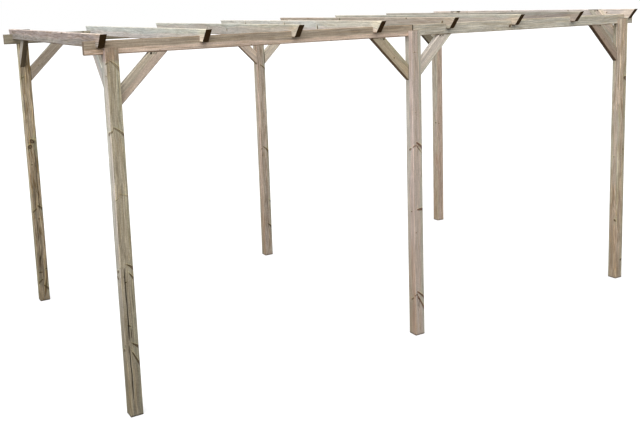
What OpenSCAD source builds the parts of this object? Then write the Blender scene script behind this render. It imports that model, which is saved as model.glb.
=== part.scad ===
// Open carport frame of planed softwood: two rows of three posts, a beam in two
// lengths on each row, rafters notched over both beams, and knee braces.
// Millimetres. The origin is on the ground under the middle of the frame, X runs
// along the beams, Y along the rafters towards the rear, and Z up.

/* [Frame] */
// Length over the outer faces of the corner posts
frame_length = 5000; // [3600:50:6000]
// Width over the outer faces of the two rows of posts
frame_width = 2850; // [2200:50:3600]
// Height of the shoulders that carry the beams
shoulder_height = 2495; // [2000:5:3000]
// Side of the square posts
post_side = 90; // [80:1:140]

/* [Beams] */
// Thickness of the beams
beam_thickness = 45; // [30:1:60]
// Depth of the beams, which stand on edge
beam_depth = 90; // [80:1:160]
// Reach of a beam past the outer face of a corner post
beam_overhang = 120; // [70:1:300]
// Gap where the two lengths of a beam meet over the middle post
butt_gap = 2; // [0.5:0.5:5]

/* [Rafters] */
// Number of rafters
rafter_count = 8; // [4:1:12]
// Thickness of the rafters
rafter_thickness = 45; // [30:1:60]
// Depth of the rafters
rafter_depth = 90; // [80:1:160]
// Depth of the notches that seat a rafter over the beams
notch_depth = 45; // [20:1:60]
// Play between a notch and each face of its beam
notch_play = 0.5; // [0.1:0.1:2]
// Reach of a rafter's underside past the outer face of a beam
tail_bottom = 45; // [20:1:100]
// Reach of a rafter's top edge past the outer face of a beam
tail_top = 120; // [60:1:300]

/* [Braces] */
// Thickness of the knee braces
brace_thickness = 45; // [30:1:60]
// Width of the knee braces
brace_width = 90; // [60:1:120]
// Leg of a knee brace, from the inner corner to the far tip of its end
brace_reach = 350; // [250:5:500]

/* [Hidden] */
// Rows and columns of posts, counted from the middle of the frame
FRONT = -1;
REAR = 1;
LEFT = -1;
MIDDLE = 0;
RIGHT = 1;
ROWS = [FRONT, REAR];
SIDES = [LEFT, RIGHT];
COLUMNS = [LEFT, MIDDLE, RIGHT];

// Heights
beam_top = shoulder_height + beam_depth;
rafter_bottom = beam_top - notch_depth;
rafter_top = rafter_bottom + rafter_depth;

// Distances from the middle of the frame
post_outer_x = frame_length / 2;
post_outer_y = frame_width / 2;
beam_inner_y = post_outer_y - post_side;
beam_outer_y = beam_inner_y + beam_thickness;
beam_end_x = post_outer_x + beam_overhang;
end_rafter_x = post_outer_x + rafter_thickness / 2;
rafter_pitch = 2 * end_rafter_x / (rafter_count - 1);

// Leg of the cut that a mitre makes across a brace
mitre = sqrt(2);
brace_cut = brace_width * mitre;

// Timber colours
olive = [0.68, 0.63, 0.51];
fawn = [0.70, 0.61, 0.53];
sage = [0.67, 0.67, 0.58];
silver = [0.74, 0.73, 0.66];
umber = [0.64, 0.56, 0.47];

function row_name(row) = row == FRONT ? "front" : "rear";
function column_name(column) = column == LEFT ? "left" : column == RIGHT ? "right" : "middle";
function post_name(row, column) = str("post_", row_name(row), "_", column_name(column));
function beam_name(row, side) = str("beam_", row_name(row), "_", column_name(side));
function rafter_name(number) = str("rafter_", number);
function cross_name(row, side) = str("cross_brace_", row_name(row), "_", column_name(side));

// A knee brace beside a middle post is also named after its side of that post
function brace_name(row, column, side) =
    str("brace_", row_name(row), "_", column_name(column),
        column == MIDDLE ? str("_", column_name(side)) : "");

// Each post braces the beam on the sides where the beam spans to another post
function brace_sides(column) = column == MIDDLE ? SIDES : [-column];

// Mirrors what is drawn for the rear row onto the given row
module on_row(row) {
    mirror([0, row == FRONT ? 1 : 0, 0]) children();
}

// Mirrors what is drawn for the right side onto the given side
module on_side(side) {
    mirror([side == LEFT ? 1 : 0, 0, 0]) children();
}

// Extrudes an outline in Y and Z along X, from the given X
module along_x(start, thickness) {
    translate([start, 0, 0]) rotate([90, 0, 90]) linear_extrude(thickness) children();
}

// Outline of a brace, from its inner corner at the origin to both ends below and beside it
module brace_outline() {
    inner_leg = brace_reach - brace_cut;
    polygon([[0, -inner_leg], [0, -brace_reach], [brace_reach, 0], [inner_leg, 0]]);
}

// A post: its inner part stops at the shoulder and its outer cheek rises to the rafters
module post(row, column) {
    centre_x = column * (post_outer_x - post_side / 2);
    color(olive) on_row(row) along_x(centre_x - post_side / 2, post_side) polygon([
        [beam_inner_y, 0],
        [post_outer_y, 0],
        [post_outer_y, rafter_bottom],
        [beam_outer_y, rafter_bottom],
        [beam_outer_y, shoulder_height],
        [beam_inner_y, shoulder_height]
    ]);
}

// Half of a beam, from the middle post to past the corner post
module beam(row, side) {
    color(side == LEFT ? fawn : sage) on_row(row) on_side(side)
        translate([butt_gap / 2, beam_inner_y, shoulder_height])
            cube([beam_end_x - butt_gap / 2, beam_thickness, beam_depth]);
}

// Half of a rafter's outline, with the notch over the rear beam and the raked tail
function half_rafter() = [
    [beam_inner_y - notch_play, rafter_bottom],
    [beam_inner_y - notch_play, beam_top],
    [beam_outer_y + notch_play, beam_top],
    [beam_outer_y + notch_play, rafter_bottom],
    [beam_outer_y + tail_bottom, rafter_bottom],
    [beam_outer_y + tail_top, rafter_top]
];

// A rafter, numbered from the left
module rafter(number) {
    half = half_rafter();
    last = len(half) - 1;
    start_x = (number - 1) * rafter_pitch - end_rafter_x - rafter_thickness / 2;
    color(silver) along_x(start_x, rafter_thickness)
        polygon(concat(half, [for (i = [last:-1:0]) [-half[i].x, half[i].y]]));
}

// A knee brace from a post to the beam above it, in the plane of the beam
module brace(row, column, side) {
    face_x = column * (post_outer_x - post_side / 2) + side * post_side / 2;
    color(umber) on_row(row)
        translate([face_x, beam_inner_y + brace_thickness, shoulder_height]) on_side(side)
            rotate([90, 0, 0]) linear_extrude(brace_thickness) brace_outline();
}

// A knee brace from a corner post to the inner face of the end rafter beside it
module cross_brace(row, side) {
    color(umber) on_row(row) on_side(side)
        translate([0, beam_inner_y, rafter_top]) mirror([0, 1, 0])
            along_x(post_outer_x - brace_thickness, brace_thickness) brace_outline();
}

for (row = ROWS, column = COLUMNS)
    post(row, column);
for (row = ROWS, side = SIDES)
    beam(row, side);
for (number = [1:rafter_count])
    rafter(number);
for (row = ROWS, column = COLUMNS, side = brace_sides(column))
    brace(row, column, side);
for (row = ROWS, side = SIDES)
    cross_brace(row, side);
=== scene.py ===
"""Dresses an open carport frame of planed, pressure-treated softwood.

Two rows of three posts carry a beam in two lengths each, eight rafters are notched
over both beams, and knee braces stiffen the corners. Every stick is rebuilt as the
skin of a sawn timber with rounded arrises, drying checks, drilled pockets and the
growth rings and knots of the log that it was cut from. Metres, Z up, X along the
beams, the origin on the ground under the middle of the frame.
"""

import sys

import logging
import math
from dataclasses import dataclass, field, replace
from enum import Enum, IntEnum

import bpy
import numpy as np
from mathutils import Matrix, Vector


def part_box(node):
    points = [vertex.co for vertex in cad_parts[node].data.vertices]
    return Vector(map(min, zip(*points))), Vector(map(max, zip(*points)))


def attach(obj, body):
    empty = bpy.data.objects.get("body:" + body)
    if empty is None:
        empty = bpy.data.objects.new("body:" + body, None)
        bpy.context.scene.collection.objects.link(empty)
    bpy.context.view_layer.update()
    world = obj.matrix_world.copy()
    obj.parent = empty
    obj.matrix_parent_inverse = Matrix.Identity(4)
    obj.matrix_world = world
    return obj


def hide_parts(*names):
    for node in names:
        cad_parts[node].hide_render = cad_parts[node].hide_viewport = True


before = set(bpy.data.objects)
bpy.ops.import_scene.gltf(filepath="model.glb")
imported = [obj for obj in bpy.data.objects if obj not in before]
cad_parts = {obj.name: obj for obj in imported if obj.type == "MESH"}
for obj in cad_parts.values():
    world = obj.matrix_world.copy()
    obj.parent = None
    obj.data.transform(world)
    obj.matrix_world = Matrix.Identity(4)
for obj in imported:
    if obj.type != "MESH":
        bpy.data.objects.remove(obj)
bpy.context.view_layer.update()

Array = np.ndarray
Vec = tuple[float, float, float]
Rgb = tuple[float, float, float]
Zone = tuple[float, float, Rgb]
ScrewPlace = tuple[Vec, Vec]
Lines = tuple[list[float], list[float], list[float]]
Socket = bpy.types.NodeSocket
log = logging.getLogger("carport")


# ---------------------------------------------------------------- small tools


class Face(Enum):
    """A long face of a stick: the lattice axis it is normal to, and which end of that axis."""

    BOTTOM = (1, -1)
    TOP = (1, 1)
    NEAR = (2, -1)
    FAR = (2, 1)

    @property
    def axis(self) -> int:
        """Lattice axis that the face is normal to: 1 across the depth, 2 through the thickness."""
        return self.value[0]

    @property
    def across(self) -> int:
        """Lattice axis that runs across the face."""
        return 3 - self.value[0]

    @property
    def sign(self) -> int:
        """Which way the face looks along its axis."""
        return self.value[1]


def unit(x: float, y: float, z: float) -> Array:
    """Returns the direction of a vector as an array of length one."""
    direction = np.array([x, y, z], float)
    return direction / np.linalg.norm(direction)


def ease(value: Array, low: float, high: float) -> Array:
    """Rises smoothly from 0 at low to 1 at high: 3t^2 - 2t^3, with t the share of the way."""
    t = np.clip((value - low) / (high - low), 0.0, 1.0)
    return t * t * (3.0 - 2.0 * t)


def sway(stations: Array, amplitude: float, wavelength: float, seed: int) -> Array:
    """A slow, smooth wander along a stick: four sines, each shorter and weaker, in seeded phases.

    Args:
        stations: places along the stick.
        amplitude: rough size of the wander.
        wavelength: length of the slowest sine.
        seed: picks the phases.

    Returns:
        The sideways shift at each station.
    """
    rng = np.random.default_rng(seed)
    order = np.arange(1.0, 5.0)[:, None]
    phase = rng.uniform(0.0, 2.0 * math.pi, order.shape)
    waves = np.sin(2.0 * math.pi * stations * order**1.3 / wavelength + phase) / order
    return amplitude * waves.sum(0)


def ruled(low: float, high: float, step: float, zones: list[Vec], fixed: list[float]) -> Array:
    """Lattice lines from low to high: the fixed ones, with even splits between them.

    Args:
        low: first line.
        high: last line.
        step: widest gap outside the zones.
        zones: stretches with a finer gap, as (start, end, gap).
        fixed: lines that have to be there.

    Returns:
        The rising places of the lines.
    """
    nearest = 0.0003
    wanted = sorted([low, high, *fixed, *[edge for zone in zones for edge in zone[:2]]])
    stops = [low]
    for place in wanted:
        if stops[-1] + nearest < place <= high:
            stops.append(place)
    stops[-1] = high
    runs = [np.array([low])]
    for start, end in zip(stops, stops[1:]):
        middle = (start + end) / 2.0
        gap = min([step, *[fine for near, far, fine in zones if near < middle < far]])
        runs.append(np.linspace(start, end, max(1, math.ceil((end - start) / gap - 1e-6)) + 1)[1:])
    return np.concatenate(runs)


def lattice_skin(wood: Array) -> tuple[Array, Array]:
    """The quads between wood and air in a block of lattice cells, all looking outwards.

    Along each axis the difference of neighbouring cells is +1 where wood begins and -1
    where it ends; the quad there joins the four lattice corners round that cell side.

    Args:
        wood: one flag for each cell, True where there is wood.

    Returns:
        The lattice corners in use, as flat numbers, and the quads between them.
    """
    corner_shape = tuple(n + 1 for n in wood.shape)
    padded = np.pad(wood.astype(np.int8), 1)
    quads = []
    for axis in range(3):
        keep = [slice(1, -1)] * 3
        keep[axis] = slice(None)
        change = np.diff(padded, axis=axis)[tuple(keep)]
        first, second = (axis + 1) % 3, (axis + 2) % 3
        for sense in (1, -1):
            cell = np.stack(np.nonzero(change == sense), 1)
            ring = [np.zeros(3, int) for _ in range(4)]
            ring[1][first] = 1
            ring[2][[first, second]] = 1
            ring[3][second] = 1
            order = ring if sense < 0 else ring[::-1]
            corners = [np.ravel_multi_index((cell + turn).T, corner_shape) for turn in order]
            quads.append(np.stack(corners, 1))
    used, numbered = np.unique(np.concatenate(quads), return_inverse=True)
    return used, numbered.reshape(-1, 4)


def new_piece(name: str, points: Array, faces: Array | list, crease: float) -> bpy.types.Object:
    """Makes a mesh object at the origin with smooth faces and sharp edges past an angle.

    Args:
        name: name of the object and its mesh.
        points: one row of three coordinates for each vertex.
        faces: vertex numbers of each face.
        crease: angle in degrees past which an edge stays sharp.

    Returns:
        The new object, linked to the scene.
    """
    mesh = bpy.data.meshes.new(name)
    mesh.from_pydata(points, [], faces)
    mesh.shade_smooth()
    mesh.set_sharp_from_angle(angle=math.radians(crease))
    mesh.update()
    piece = bpy.data.objects.new(name, mesh)
    bpy.context.scene.collection.objects.link(piece)
    return piece


def paint_points(piece: bpy.types.Object, name: str, values: Array) -> None:
    """Stores a number or a vector on each vertex, for the materials to read.

    Args:
        piece: piece to paint.
        name: name that the materials know it by.
        values: one number or one row of three for each vertex.
    """
    kind, key = ("FLOAT", "value") if values.ndim == 1 else ("FLOAT_VECTOR", "vector")
    layer = piece.data.attributes.new(name, kind, "POINT")
    layer.data.foreach_set(key, values.astype(np.float32).ravel())


def triangle_count(piece: bpy.types.Object) -> int:
    """How many triangles a piece's faces make: two fewer for each face than it has corners."""
    return len(piece.data.loops) - 2 * len(piece.data.polygons)


# ---------------------------------------------------------------- the wood

# Share by which lengths along the grain count round a knot
EYE_STRETCH = 0.42
# Distance in a knot's radii past which it shows nothing
KNOT_REACH = 3.0
# How far a lattice cell reaches from its middle
CELL_REACH = 0.0035
# A branch's girth at the pith, what it gains on its way out, and the run in which it does
GIRTH_START, GIRTH_GAIN, GIRTH_RUN = 0.55, 0.45, 0.045
# Run from the pith where a branch begins, and those between which a knot can show
FIRST_RUN = 0.002
SHOWN_RUNS = (0.01, 0.085)
# Radii by which the fine lattice reaches past where a branch's axis can show
KNOT_MARGIN = 1.6
# Share by which the rings widen for each metre up a stick
LOG_TAPER = 0.06


class Knot(IntEnum):
    """Columns of what is known of a point from the branch nearest to it."""

    ALONG = 0
    ROUND = 1
    STRETCHED = 2
    DEAD = 3
    PLAIN = 4


@dataclass(frozen=True)
class Branch:
    """A branch that leaves the pith of the log and shows as a knot where the saw met it.

    Its bearing turns from b towards a, and its lean is towards the top of the stick. At
    a run r from the pith its axis has risen by r tan(lean) + curl r^2. The wood of a dead
    branch is dark, and that of a live one close to the wood round it.
    """

    station: float
    bearing: float
    radius: float
    lean: float = 18.0
    curl: float = 0.0
    dead: float = 0.9

    def measure(self, points: Array, heart: Array) -> Array:
        """Where points lie around the branch, which widens evenly from the pith outwards.

        The offset from the branch's axis, along the stick and round the log, is divided
        by the branch's radius there. The stretched distance counts lengths along the
        grain at under half, because fibres flow past a knot in a long eye.

        Args:
            points: places in the stick's own axes, (s, b, a).
            heart: place of the pith in (b, a) at each point's station.

        Returns:
            One row for each point, in the columns of Knot: offset along, offset round,
            stretched distance, how dead the branch is, and plain distance less the
            reach of a lattice cell.
        """
        bearing = math.radians(self.bearing)
        across = points[:, 1:] - heart
        run = across @ np.array([math.cos(bearing), math.sin(bearing)])
        sideways = across @ np.array([-math.sin(bearing), math.cos(bearing)])
        slope = math.tan(math.radians(self.lean)) + self.curl * run
        rise = points[:, 0] - self.station - slope * run
        steep = slope + self.curl * run
        girth = self.radius * (GIRTH_START + GIRTH_GAIN * np.clip(run, 0.0, None) / GIRTH_RUN)
        along, round_log = rise / np.hypot(1.0, steep) / girth, sideways / girth
        stretched = np.hypot(along * EYE_STRETCH, round_log)
        plain = np.hypot(along, round_log) - CELL_REACH / girth
        found = np.stack([along, round_log, stretched, np.full_like(along, self.dead), plain], 1)
        return np.where(run[:, None] < FIRST_RUN, KNOT_REACH, found)

    def stretch(self) -> tuple[float, float]:
        """Finds where the branch can show on a face.

        Returns:
            The first and last station.
        """
        slope = math.tan(math.radians(self.lean))
        rises = [run * (slope + self.curl * run) for run in SHOWN_RUNS]
        margin = KNOT_MARGIN * self.radius
        return self.station + min(rises) - margin, self.station + max(rises) + margin


@dataclass(frozen=True)
class Stem:
    """The log that a stick was sawn from.

    pith is its middle in the stick's cross-section, (b, a), which wanders along the
    stick; whorls of branches leave it at uneven spacing, and chosen ones are added.
    """

    pith: tuple[float, float]
    seed: int
    wander: float = 0.006
    whorl_gap: float = 0.42
    knot_size: float = 0.0085
    chosen: tuple[Branch, ...] = ()

    def heart(self, stations: Array) -> Array:
        """Follows the pith along the stick.

        Args:
            stations: places along the stick.

        Returns:
            The pith's place in (b, a) at each station.
        """
        across = sway(stations, self.wander, 2.3, self.seed)
        through = sway(stations, self.wander, 1.7, self.seed + 1)
        return np.stack([self.pith[0] + across, self.pith[1] + through], 1)

    def branches(self, length: float) -> list[Branch]:
        """Grows the stick's branches: two or three to a whorl, evenly spread round the log.

        Args:
            length: length of the stick.

        Returns:
            The chosen branches, and then those of the whorls.
        """
        rng = np.random.default_rng(self.seed + 7)
        found = list(self.chosen)
        station = rng.uniform(0.1, self.whorl_gap)
        while station < length:
            count = int(rng.integers(2, 4))
            turn = rng.uniform(0.0, 360.0)
            for number in range(count):
                found.append(Branch(
                    station + rng.uniform(-0.03, 0.03),
                    turn + 360.0 * number / count + rng.uniform(-25.0, 25.0),
                    self.knot_size * rng.uniform(0.45, 1.25),
                    rng.uniform(8.0, 28.0),
                ))
            station += self.whorl_gap * rng.uniform(0.6, 1.4)
        return found

    def grain(self, points: Array) -> Array:
        """Place of each point round the pith, widened up the stick as a log tapers."""
        taper = 1.0 + LOG_TAPER * points[:, :1]
        return np.concatenate([(points[:, 1:] - self.heart(points[:, 0])) * taper, points[:, :1]], 1)

    def knots(self, points: Array, length: float) -> Array:
        """Finds the branch nearest to each point, and how near the nearest eye of grain comes.

        Args:
            points: places in the stick's own axes, (s, b, a).
            length: length of the stick.

        Returns:
            One row for each point, in the columns of Knot.
        """
        heart = self.heart(points[:, 0])
        best = np.full((len(points), len(Knot)), KNOT_REACH)
        for branch in self.branches(length):
            found = branch.measure(points, heart)
            stretched = np.minimum(best[:, Knot.STRETCHED], found[:, Knot.STRETCHED])
            nearer = found[:, Knot.PLAIN] < best[:, Knot.PLAIN]
            best[nearer] = found[nearer]
            best[:, Knot.STRETCHED] = stretched
        return best


@dataclass(frozen=True)
class Check:
    """A crack that opened along a face as the wood dried, or the end of a saw cut."""

    face: Face
    across: float
    start: float
    end: float
    width: float = 0.0026
    depth: float = 0.008
    wander: float = 0.0012


@dataclass(frozen=True)
class Pocket:
    """A round pocket drilled into a face; a shallow one holds the head of a screw."""

    face: Face
    across: float
    station: float
    width: float
    depth: float
    screw: bool = True


@dataclass(frozen=True)
class Placement:
    """Where a stick lies: the corner that its three axes lead away from, and their directions."""

    corner: Vec
    along: Vec
    up: Vec
    through: Vec

    @property
    def axes(self) -> Array:
        """The three directions as the rows of a matrix."""
        return np.array([self.along, self.up, self.through], float)

    def world(self, points: Array) -> Array:
        """Carries points from the stick's axes into the frame's."""
        return np.array(self.corner) + points @ self.axes

    @property
    def mirrored(self) -> bool:
        """True where the axes are left-handed, so that faces have to be turned round."""
        return np.linalg.det(self.axes) < 0.0


# ---------------------------------------------------------------- materials


class Wiring:
    """Shorthand for wiring the shader nodes of a material or a world."""

    def __init__(self, block: bpy.types.Material | bpy.types.World) -> None:
        """Empties the node tree.

        Args:
            block: material or world to wire.
        """
        block.use_nodes = True
        self.block = block
        self.tree = block.node_tree
        self.tree.nodes.clear()

    def node(self, kind: str, inputs: dict | None = None, **settings: object) -> bpy.types.Node:
        """Adds a node.

        Args:
            kind: name of the node's type.
            inputs: values or sockets for its inputs, by name or number.
            settings: properties of the node.

        Returns:
            The new node.
        """
        made = self.tree.nodes.new(kind)
        for key, value in settings.items():
            setattr(made, key, value)
        for key, value in (inputs or {}).items():
            self.feed(made.inputs[key], value)
        return made

    def feed(self, socket: Socket, value: object) -> None:
        """Links a socket into an input, or sets the input to a value.

        Args:
            socket: the input.
            value: a socket, a number or a vector, or a colour without its fourth number.
        """
        if isinstance(value, Socket):
            self.tree.links.new(value, socket)
        elif socket.type == "RGBA":
            socket.default_value = (*value, 1.0)
        else:
            socket.default_value = value

    def stored(self, name: str, output: str = "Vector") -> Socket:
        """The vector, or the Fac for a number, stored on the vertices under that name."""
        return self.node("ShaderNodeAttribute", attribute_name=name).outputs[output]

    def place(self) -> Socket:
        """Place in the frame."""
        return self.node("ShaderNodeTexCoord").outputs["Object"]

    def seen_directly(self) -> Socket:
        """Tells a ray that shows the surface from one that only carries light.

        Returns:
            1 for a ray from the camera, a mirror or glass, and 0 for any other.
        """
        path = self.node("ShaderNodeLightPath").outputs
        seen = self.math("MAXIMUM", path["Is Camera Ray"], path["Is Glossy Ray"])
        return self.math("MAXIMUM", seen, path["Is Transmission Ray"])

    def split(self, vector: Socket) -> bpy.types.bpy_prop_collection:
        """The three numbers of a vector."""
        return self.node("ShaderNodeSeparateXYZ", {0: vector}).outputs

    def math(self, operation: str, *values: object) -> Socket:
        """The result of a Math node."""
        return self.node("ShaderNodeMath", dict(enumerate(values)), operation=operation).outputs[0]

    def times(self, first: object, second: object) -> Socket:
        """The product of two numbers."""
        return self.math("MULTIPLY", first, second)

    def plus(self, first: object, second: object) -> Socket:
        """The sum of two numbers."""
        return self.math("ADD", first, second)

    def vector(self, operation: str, inputs: dict) -> bpy.types.Node:
        """A Vector Math node."""
        return self.node("ShaderNodeVectorMath", inputs, operation=operation)

    def hypot(self, first: Socket, second: Socket) -> Socket:
        """The square root of the sum of two squares."""
        return self.math("SQRT", self.plus(self.times(first, first), self.times(second, second)))

    def noise(self, vector: Socket, scale: Vec, detail: float = 2.0) -> Socket:
        """Smooth noise about 0.5, with scale bumps to the metre along each axis."""
        scaled = self.vector("MULTIPLY", {0: vector, 1: scale}).outputs[0]
        return self.node("ShaderNodeTexNoise", {"Vector": scaled, "Scale": 1.0, "Detail": detail}).outputs[0]

    def wobble(self, vector: Socket, scale: Vec, swing: float, detail: float = 2.0) -> Socket:
        """Noise about 0, with the whole of its swing from end to end."""
        return self.math("MULTIPLY_ADD", self.noise(vector, scale, detail), swing, -0.5 * swing)

    def rise(self, value: object, low: float, high: float, start: float = 0.0, end: float = 1.0) -> Socket:
        """Eases from start, where value is low, to end, where it is high."""
        inputs = {0: value, 1: low, 2: high, 3: start, 4: end}
        return self.node("ShaderNodeMapRange", inputs, interpolation_type="SMOOTHSTEP").outputs[0]

    def curve(self, value: object, stops: list[tuple[float, float]]) -> Socket:
        """Reads a number off a line.

        Args:
            value: where to read it.
            stops: corners of the line, as (place, level), rising from 0 to 1.

        Returns:
            The level there.
        """
        made = self.node("ShaderNodeValToRGB", {0: value})
        points = made.color_ramp.elements
        while len(points) < len(stops):
            points.new(1.0)
        for point, (place, level) in zip(points, stops):
            point.position = place
            point.color = (level, level, level, 1.0)
        return made.outputs[0]

    def mix(self, share: object, first: object, second: object, blend: str = "MIX") -> Socket:
        """Mixes two colours.

        Args:
            share: share of the second.
            first: first colour.
            second: second colour.
            blend: name of the way to mix them.

        Returns:
            The mixed colour.
        """
        made = self.node("ShaderNodeMix", data_type="RGBA", blend_type=blend)
        inputs = {socket.name: socket for socket in made.inputs if socket.enabled}
        for name, value in (("Factor", share), ("A", first), ("B", second)):
            self.feed(inputs[name], value)
        return next(socket for socket in made.outputs if socket.enabled)

    def multiply(self, share: object, colour: Socket, cast: object) -> Socket:
        """A colour multiplied by a cast, in so far as the share says."""
        return self.mix(share, colour, cast, "MULTIPLY")

    def shade(self, colour: Socket | Rgb, level: Socket) -> Socket:
        """A colour multiplied by a level."""
        return self.vector("SCALE", {0: colour, 3: level}).outputs[0]

    def surface(self, shader: bpy.types.Node) -> bpy.types.Material | bpy.types.World:
        """Ends the material or the world in that shader."""
        self.node(f"ShaderNodeOutput{type(self.block).__name__}", {"Surface": shader.outputs[0]})
        return self.block


@dataclass(frozen=True)
class TreatedPine:
    """Planed pine, pressure treated and a little worn by the weather.

    tone is the stick's own colour, and every other colour of its long faces is a cast
    of it. The treatment greens the sapwood and leaves the heartwood fawn, so the cast
    turns at heart_radius from the pith. Late wood draws a brown line every ring_gap.
    Painted light casts the tops and the left sides, lighter and cooler high up and warmer
    and darker near the ground, a painted highlight and wear lighten the arrises, and
    painted shade browns the undersides.
    The head cast comes in between the two head heights. A front zone is a place along Y,
    a fade and the cast of the wood in front of it.
    """

    tone: Rgb = (0.42, 0.34, 0.25)
    sap_cast: Rgb = (0.97, 1.01, 0.98)
    heart_cast: Rgb = (1.05, 0.98, 0.98)
    cool_cast: Rgb = (0.92, 0.99, 1.04)
    late_cast: Rgb = (0.60, 0.50, 0.38)
    fleck_cast: Rgb = (0.58, 0.50, 0.38)
    cream_cast: Rgb = (1.28, 1.24, 1.10)
    cool_share: float = 0.5
    heart_radius: float = 0.05
    heart_edge: float = 0.006
    ring_gap: float = 0.0056
    late_share: float = 0.45
    streak: float = 0.12
    fine: float = 0.16
    fleck: float = 0.5
    cream: float = 0.7
    end_wood: Rgb = (0.25, 0.19, 0.14)
    knot_wood: Rgb = (0.15, 0.10, 0.06)
    rim_wood: Rgb = (0.045, 0.030, 0.018)
    # Colour of the painted shade down checks, in drilled holes and at joining ends
    crack: Rgb = (0.020, 0.014, 0.009)
    # Painted light on the tops (painted shade where below 1), painted light on the left sides high and low,
    # painted shade on the undersides, and painted highlight and wear on the arrises
    top_cast: Rgb = (1.03, 1.0, 0.95)
    side_cast: Rgb = (1.02, 1.06, 1.12)
    low_side_cast: Rgb = (0.88, 0.80, 0.73)
    under_cast: Rgb = (0.48, 0.39, 0.31)
    worn_cast: Rgb = (1.22, 1.20, 1.16)
    head_cast: Rgb = (1.0, 1.0, 1.0)
    head_heights: tuple[float, float] = (2.435, 2.465)
    # How much and how high a post darkens towards the ground: moisture at the foot and painted shade above
    # it
    damp: float = 0.0
    damp_reach: float = 0.45
    mottle: float = 0.07
    front_zones: tuple[Zone, ...] = ()

    def cast(self, colour: Rgb) -> Rgb:
        """The tone multiplied by a cast."""
        return tuple(round(t * c, 4) for t, c in zip(self.tone, colour))

    def wood(self, name: str) -> bpy.types.Material:
        """The finish as a material of that name."""
        return PineWiring(name, self).finished()


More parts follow.
